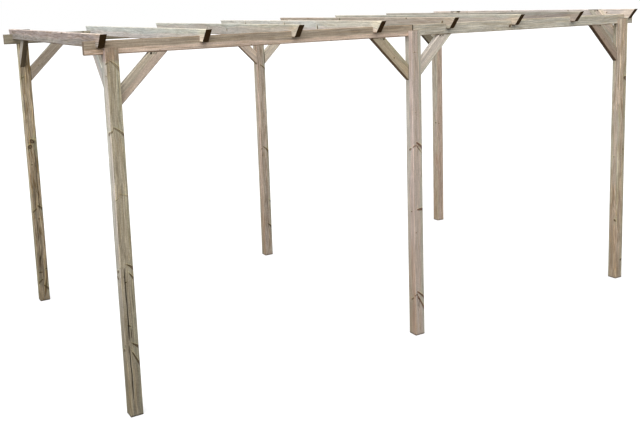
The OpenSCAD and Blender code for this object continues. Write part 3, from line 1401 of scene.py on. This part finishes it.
@dataclass
class Beams:
    """The four lengths of beam, two to a row, butted over the middle posts."""

    base_seed: int = 300
    # Reach of the painted shade at the butt joint over the middle post
    joint_grime: float = 0.006
    tones: dict[tuple[Row, Column], Rgb] = field(default_factory=lambda: {
        (Row.FRONT, Column.LEFT): (0.565, 0.475, 0.385),
        (Row.FRONT, Column.RIGHT): (0.555, 0.495, 0.43),
        (Row.REAR, Column.LEFT): (0.485, 0.445, 0.36),
        (Row.REAR, Column.RIGHT): (0.52, 0.47, 0.39),
    })

    def build(self) -> list[bpy.types.Object]:
        """Builds every length of beam in its place."""
        return [self.stick(row, side).build() for row, side in self.tones]

    def stick(self, row: Row, side: Column) -> Stick:
        """One length of beam.

        Args:
            row: row that carries it.
            side: side of the middle post that it lies on.

        Returns:
            The stick, ready to build.
        """
        seed = self.base_seed + 10 * row.value + side.value
        if side is Column.LEFT:
            finish, slot, grime = WARM_BEAM_PINE, "beam_timber_warm", (0.0, self.joint_grime)
            stem = Stem((0.008, 0.058), seed, wander=0.003, whorl_gap=0.7, knot_size=0.006)
        else:
            finish, slot, grime = GREY_BEAM_PINE, "beam_timber_grey", (self.joint_grime, 0.0)
            stem = Stem((0.014, -0.020), seed, whorl_gap=0.7, knot_size=0.006)
        return Stick(
            *square_in(f"beam_{row.label}_{side.label}", (1, 0, 0), (0, 0, 1), (0, row.value, 0)),
            stem, replace(finish, tone=self.tones[row, side]), slot, grime=grime)


def rafter_nodes() -> list[str]:
    """The rafters' nodes, from the left."""
    count = sum(node.startswith("rafter_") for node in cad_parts)
    return [f"rafter_{number}" for number in range(1, count + 1)]


@dataclass
class Rafters:
    """The rafters, notched over both rows of beams, with raked tails.

    Rafters in the fawn, dull and streaky groups are given by number, from the left.
    """

    slot: str = "rafter_timber"
    base_seed: int = 500
    play: float = 0.0005
    bleached_tail: Zone = (-1.37, 0.05, (1.20, 1.17, 1.10))
    fawn_zone: Zone = (-0.6, 0.25, (1.0, 0.965, 0.90))
    dull_zone: Zone = (-0.3, 0.25, (0.82, 0.81, 0.80))
    fawn: tuple[int, ...] = (2, 3, 4)
    dull: tuple[int, ...] = (7,)
    streaky: tuple[int, ...] = (1,)
    tones: tuple[Rgb, ...] = (
        (0.355, 0.30, 0.26), (0.56, 0.54, 0.485), (0.49, 0.46, 0.39), (0.64, 0.585, 0.51),
        (0.415, 0.362, 0.285), (0.47, 0.43, 0.355), (0.42, 0.37, 0.31), (0.56, 0.51, 0.44))

    def build(self) -> list[bpy.types.Object]:
        """Builds every rafter in its place."""
        return [self.stick(number, node).build() for number, node in enumerate(rafter_nodes(), 1)]

    def finish(self, number: int) -> TreatedPine:
        """Picks what one rafter looks like.

        Args:
            number: its number from the left, from 1.

        Returns:
            Its finish, with the tones in turn.
        """
        zones = [self.bleached_tail]
        if number in self.fawn:
            zones.append(self.fawn_zone)
        if number in self.dull:
            zones.append(self.dull_zone)
        pine = STREAKY_RAFTER_PINE if number in self.streaky else RAFTER_PINE
        return replace(pine, tone=self.tones[(number - 1) % len(self.tones)], front_zones=tuple(zones))

    def stick(self, number: int, node: str) -> RafterStick:
        """One rafter.

        Args:
            number: its number from the left, from 1.
            node: its CAD node.

        Returns:
            The stick, ready to build.
        """
        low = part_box(node)[0]
        beams = [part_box(f"beam_{row.label}_left") for row in Row]
        notches = tuple((near.y - self.play - low.y, far.y + self.play - low.y) for near, far in beams)
        seed = self.base_seed + number
        rng = np.random.default_rng(seed)
        pith = (rng.uniform(-0.01, 0.08), rng.uniform(-0.03, 0.06))
        stem = Stem(pith, seed, whorl_gap=0.45, knot_size=0.008)
        return RafterStick(
            *square_in(node, (0, 1, 0), (0, 0, 1), (1, 0, 0)), stem, self.finish(number), self.slot,
            notches=notches, notch_depth=beams[0][1].z - low.z)


@dataclass
class KneeBraces:
    """The eight braces in the plane of the beams and the four across the corners.

    The holes in a brace's head lie in a line beside the mitre, each given by its step
    along the line, its width and depth, and whether it holds a screw.
    """

    width: float = 0.09
    slot: str = "brace_timber"
    base_seed: int = 700
    cross_seed: int = 800
    fawn: Rgb = (0.54, 0.46, 0.37)
    # Reach of the painted shade at both ends, where the brace meets post and beam
    grime: tuple[float, float] = (0.009, 0.006)
    hole_inset: tuple[float, float] = (0.005, 0.010)
    holes: tuple[tuple[float, float, float, bool], ...] = (
        (0.006, 0.017, 0.014, False), (0.020, 0.013, 0.0016, True), (0.030, 0.013, 0.0016, True))
    tones: dict[str, Rgb] = field(default_factory=lambda: {
        "brace_front_left": (0.56, 0.46, 0.37),
        "brace_front_middle_left": (0.43, 0.365, 0.26),
        "brace_front_middle_right": (0.64, 0.58, 0.50),
        "brace_front_right": (0.35, 0.28, 0.22),
        "cross_brace_front_left": (0.56, 0.51, 0.45),
        "cross_brace_rear_left": (0.44, 0.39, 0.32),
        "brace_rear_left": (0.395, 0.335, 0.265),
        "brace_rear_middle_left": (0.65, 0.55, 0.45),
        "brace_rear_middle_right": (0.69, 0.62, 0.51),
        "brace_rear_right": (0.24, 0.215, 0.16),
    })

    def build(self) -> list[bpy.types.Object]:
        """Builds every brace in its place."""
        return [stick.build() for stick in self.sticks()]

    def sticks(self) -> list[BraceStick]:
        """Sets out every brace, those along the beams first.

        Returns:
            The sticks, ready to build.
        """
        along = [self.beside(row, column, side) for row in Row for column in Column for side in SIDES
                 if column is Column.MIDDLE or side.value == -column.value]
        return along + [self.across(row, side) for row in Row for side in SIDES]

    def beside(self, row: Row, column: Column, side: Column) -> BraceStick:
        """Sets out a brace from a post to the beam above it.

        Args:
            row: row that it stands in.
            column: post that it springs from.
            side: side of that post.

        Returns:
            The stick, ready to build.
        """
        suffix = f"_{side.label}" if column is Column.MIDDLE else ""
        seed = self.base_seed + 10 * row.value + 3 * column.value + side.value
        return self.stick(f"brace_{row.label}_{column.label}{suffix}", (side.value, 0, 0), seed)

    def across(self, row: Row, side: Column) -> BraceStick:
        """Sets out a brace from a corner post to the end rafter."""
        seed = self.cross_seed + 10 * row.value + side.value
        return self.stick(f"cross_brace_{row.label}_{side.label}", (0, -row.value, 0), seed)

    def stick(self, node: str, run: Vec, seed: int) -> BraceStick:
        """One brace, leaning away from its post at 45 degrees, its long edge below.

        Args:
            node: its CAD node.
            run: level direction from the post.
            seed: picks the log: its pith is in or beside the brace, and it has few knots.

        Returns:
            The stick, ready to build.
        """
        run_x, run_y, _ = run
        _, reach, _, thickness, level = square_in(node, run, (0, 0, 1), (abs(run_y), abs(run_x), 0))
        length = reach * math.sqrt(2.0)
        placement = replace(level, along=tuple(unit(run_x, run_y, 1)), up=tuple(unit(-run_x, -run_y, 1)))
        rng = np.random.default_rng(seed)
        pith = (rng.uniform(0.0, 0.09), rng.uniform(-0.03, 0.02))
        stem = Stem(pith, seed, whorl_gap=0.35, knot_size=0.005)
        pine = replace(BRACE_PINE, tone=self.tones.get(node, self.fawn))
        return BraceStick(node, length, self.width, thickness, placement, stem, pine, self.slot,
                          pockets=self.pockets(length), grime=self.grime)

    def pockets(self, length: float) -> tuple[Pocket, ...]:
        """Sets out a deep hole in the head's inner corner, and two screws in a line beside the mitre.

        Args:
            length: length of the brace.

        Returns:
            The pockets.
        """
        first, mitre = self.width - self.hole_inset[1], length - self.width - self.hole_inset[0]
        return tuple(
            Pocket(Face.NEAR, first - step, mitre + step, width, depth, screw)
            for step, width, depth, screw in self.holes)


# ---------------------------------------------------------------- screws


@dataclass(frozen=True)
class ScrewHead:
    """A countersunk head with a star drive."""

    radius: float = 0.0045
    sides: int = 16
    profile: tuple[tuple[float, float], ...] = (
        (0.0, -0.0050), (0.45, -0.0045), (1.0, -0.0006), (0.95, 0.0002),
        (0.48, 0.0004), (0.36, -0.0014), (0.0, -0.0018))
    lobe: float = 0.16

    def mesh(self, centre: Vec, axis: Vec) -> tuple[Array, list[list[int]]]:
        """A profile turned round the axis, with the drive's rings pulled in and out four times.

        Args:
            centre: middle of the head, on the surface of the wood.
            axis: direction that the head looks in.

        Returns:
            The points and the faces.
        """
        out = unit(*axis)
        side = unit(*np.cross(out, (0.31, 0.52, 0.79)))
        third = np.cross(out, side)
        turn = 2.0 * math.pi * np.arange(self.sides) / self.sides
        rings = np.array(self.profile[1:-1])
        lobed = np.array([0.0, 0.0, 0.0, 1.0, 1.0])[:, None] * self.lobe * np.cos(4.0 * turn)
        radius = self.radius * rings[:, :1] * (1.0 + lobed)
        points = (radius[..., None] * (np.cos(turn)[:, None] * side + np.sin(turn)[:, None] * third)
                  + rings[:, 1][:, None, None] * out).reshape(-1, 3)
        poles = np.array([self.profile[0][1] * out, self.profile[-1][1] * out])
        step = np.arange(self.sides)
        after = (step + 1) % self.sides
        faces = []
        for ring in range(len(rings) - 1):
            low, high = ring * self.sides, (ring + 1) * self.sides
            faces += np.stack([low + step, low + after, high + after, high + step], 1).tolist()
        last = (len(rings) - 1) * self.sides
        bottom, top = len(points), len(points) + 1
        faces += np.stack([after, step, np.full_like(step, bottom)], 1).tolist()
        faces += np.stack([last + step, last + after, np.full_like(step, top)], 1).tolist()
        return np.array(centre) + np.concatenate([points, poles]), faces


@dataclass
class Screws:
    """The screws that show: through the cheeks, the rafters and the ends of the braces."""

    head: ScrewHead = ScrewHead()
    steel: ZincedSteel = ZincedSteel()
    fresh_steel: ZincedSteel = ZincedSteel((0.60, 0.55, 0.44), (0.30, 0.27, 0.21))
    slot: str = "screws"
    sunk: float = 0.0004
    cheek_shares: tuple[float, ...] = (0.25, 0.75)
    butt_shares: tuple[float, ...] = (0.14, 0.36, 0.64, 0.86)
    brace_head_screws: tuple[tuple[float, float], ...] = ((0.060, 0.027), (0.130, 0.064))

    def build(self) -> list[bpy.types.Object]:
        """Builds one joined piece for each kind of joint.

        Returns:
            The pieces.
        """
        metal, fresh = self.steel.metal("zinced_steel"), self.fresh_steel.metal("fresh_zinced_steel")
        brace_places = [place for stick in KneeBraces().sticks() for place in stick.head_screws()]
        return [
            self.joined("screws_cheeks", self.cheek_places(), metal),
            self.joined("screws_rafters", self.rafter_places(), metal),
            self.joined("screws_end_rafters", self.end_rafter_places(), metal),
            self.joined("screws_braces", brace_places, fresh),
        ]

    def joined(self, name: str, places: list[ScrewPlace], metal: bpy.types.Material) -> bpy.types.Object:
        """Joins the heads of one kind of joint into a piece.

        Args:
            name: name of the piece.
            places: centre and axis of each head.
            metal: material of the heads.

        Returns:
            The piece.
        """
        points, faces, start = [], [], 0
        for centre, axis in places:
            head_points, head_faces = self.head.mesh(centre, axis)
            points.append(head_points)
            faces += [[start + i for i in face] for face in head_faces]
            start += len(head_points)
        piece = new_piece(name, np.concatenate(points), faces, 40.0)
        piece.data.materials.append(metal)
        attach(piece, "root")
        log.info("%s: %d heads, %d faces", name, len(places), len(faces))
        return piece

    def cheek_places(self) -> list[ScrewPlace]:
        """Sets out two screws through each cheek into the beam, or four where two beams butt.

        Returns:
            Centre and axis of each.
        """
        places = []
        for row in Row:
            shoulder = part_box(f"beam_{row.label}_left")[0].z
            for column in Column:
                low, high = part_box(f"post_{row.label}_{column.label}")
                outer = row.value * max(abs(low.y), abs(high.y))
                shares = self.butt_shares if column is Column.MIDDLE else self.cheek_shares
                places += [((low.x + share * (high.x - low.x), outer, (shoulder + high.z) / 2.0),
                            (0.0, row.value, 0.0)) for share in shares]
        return places

    def rafter_places(self) -> list[ScrewPlace]:
        """Sets out one screw down through each rafter into each beam.

        Returns:
            Centre and axis of each.
        """
        places = []
        for low, high in map(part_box, rafter_nodes()):
            for row in Row:
                near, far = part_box(f"beam_{row.label}_left")
                centre = ((low.x + high.x) / 2.0, (near.y + far.y) / 2.0, high.z - self.sunk)
                places.append((centre, (0.0, 0.0, 1.0)))
        return places

    def end_rafter_places(self) -> list[ScrewPlace]:
        """Sets out two screws through each end rafter into the head of each cross brace.

        Returns:
            Centre and axis of each.
        """
        left, *_, right = map(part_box, rafter_nodes())
        places = []
        for side, face, top in ((-1.0, left[0].x, left[1].z), (1.0, right[1].x, right[1].z)):
            for row in Row:
                head = min(abs(corner.y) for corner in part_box(f"cross_brace_{row.label}_left"))
                places += [((face, row.value * (head + inward), top - drop), (side, 0.0, 0.0))
                           for inward, drop in self.brace_head_screws]
        return places


# ---------------------------------------------------------------- studio

WHITE = (1.0, 1.0, 1.0)


@dataclass
class Studio:
    """A plain pale floor, soft light from the left and above, and the camera."""

    floor_reach: float = 90.0
    floor_paint: Rgb = (0.42, 0.42, 0.42)
    floor_glow: float = 0.56
    floor_bounce: Rgb = (0.05, 0.05, 0.0475)
    key_from: Vec = (-0.58, -0.44, 0.70)
    key_level: float = 1.20
    fill_from: Vec = (0.62, 0.52, 0.60)
    fill_level: float = 0.45
    sky_level: float = 0.50
    camera_place: Vec = (-4.039, -6.719, 2.785)
    camera_turn: Vec = (-30.54, -8.88, -1.86)
    focal: float = 46.59
    rise: float = -0.13

    def build(self) -> None:
        """Sets the floor, the lamps, the world, the camera and the view transform."""
        self.floor()
        self.lamp("key", self.key_from, self.key_level, 100.0)
        self.lamp("fill", self.fill_from, self.fill_level, 60.0)
        self.world()
        self.camera()
        bpy.context.scene.view_settings.view_transform = "Standard"

    def lamp(self, name: str, source: Vec, level: float, angle: float) -> None:
        """A wide, distant lamp that lights a surface facing it to level times its colour.

        Args:
            name: name of the lamp.
            source: direction that the light comes from.
            level: brightness of a white surface that faces it.
            angle: how wide the lamp looks, in degrees.
        """
        data = bpy.data.lights.new(name, "SUN")
        data.energy = math.pi * level
        data.angle = math.radians(angle)
        lamp = bpy.data.objects.new(name, data)
        bpy.context.scene.collection.objects.link(lamp)
        back = unit(*source)
        side = unit(*np.cross((0.0, 0.0, 1.0), back))
        turn = Matrix(np.array([side, np.cross(back, side), back]).T.tolist())
        lamp.rotation_euler = turn.to_euler()

    def floor(self) -> None:
        """A wide square of pale floor that keeps a faint shadow and throws back little light."""
        square = np.array([(-1.0, -1.0, 0.0), (1.0, -1.0, 0.0), (1.0, 1.0, 0.0), (-1.0, 1.0, 0.0)])
        floor = new_piece("studio_floor", self.floor_reach * square, [[0, 1, 2, 3]], 30.0)
        w = Wiring(bpy.data.materials.new("floor_paint"))
        pale = w.node("ShaderNodeBsdfDiffuse", {"Color": self.floor_paint})
        glow = w.node("ShaderNodeEmission", {"Color": WHITE, "Strength": self.floor_glow})
        shown = w.node("ShaderNodeAddShader", {0: pale.outputs[0], 1: glow.outputs[0]})
        hidden = w.node("ShaderNodeBsdfDiffuse", {"Color": self.floor_bounce})
        inputs = {0: w.seen_directly(), 1: hidden.outputs[0], 2: shown.outputs[0]}
        floor.data.materials.append(w.surface(w.node("ShaderNodeMixShader", inputs)))

    def world(self) -> None:
        """A world that looks white and lights the object softly from all round."""
        w = Wiring(bpy.data.worlds.new("studio"))
        white = w.node("ShaderNodeBackground", {"Color": WHITE, "Strength": 1.0})
        soft = w.node("ShaderNodeBackground", {"Color": (0.97, 0.99, 1.0), "Strength": self.sky_level})
        inputs = {0: w.seen_directly(), 1: soft.outputs[0], 2: white.outputs[0]}
        bpy.context.scene.world = w.surface(w.node("ShaderNodeMixShader", inputs))

    def camera(self) -> None:
        """The camera, turned by heading, tilt and roll, in that order, from level along Y."""
        data = bpy.data.cameras.new("camera")
        data.lens = self.focal
        data.sensor_width = 36.0
        data.shift_y = self.rise
        data.clip_end = 400.0
        camera = bpy.data.objects.new("camera", data)
        bpy.context.scene.collection.objects.link(camera)
        heading, tilt, roll = (math.radians(angle) for angle in self.camera_turn)
        turn = (Matrix.Rotation(heading, 4, "Z") @ Matrix.Rotation(math.radians(90.0) + tilt, 4, "X")
                @ Matrix.Rotation(roll, 4, "Z"))
        camera.matrix_world = Matrix.Translation(self.camera_place) @ turn
        bpy.context.scene.camera = camera


def main() -> None:
    """Builds the studio and every sub-assembly of the frame, in order."""
    logging.basicConfig(level=logging.INFO, format="%(name)s: %(message)s", stream=sys.stdout)
    Studio().build()
    for part in (Posts(), Beams(), Rafters(), KneeBraces(), Screws()):
        pieces = part.build()
        triangles = sum(triangle_count(piece) for piece in pieces)
        log.info("%s: %d pieces, %d triangles", type(part).__name__, len(pieces), triangles)


if __name__ == "__main__":
    main()
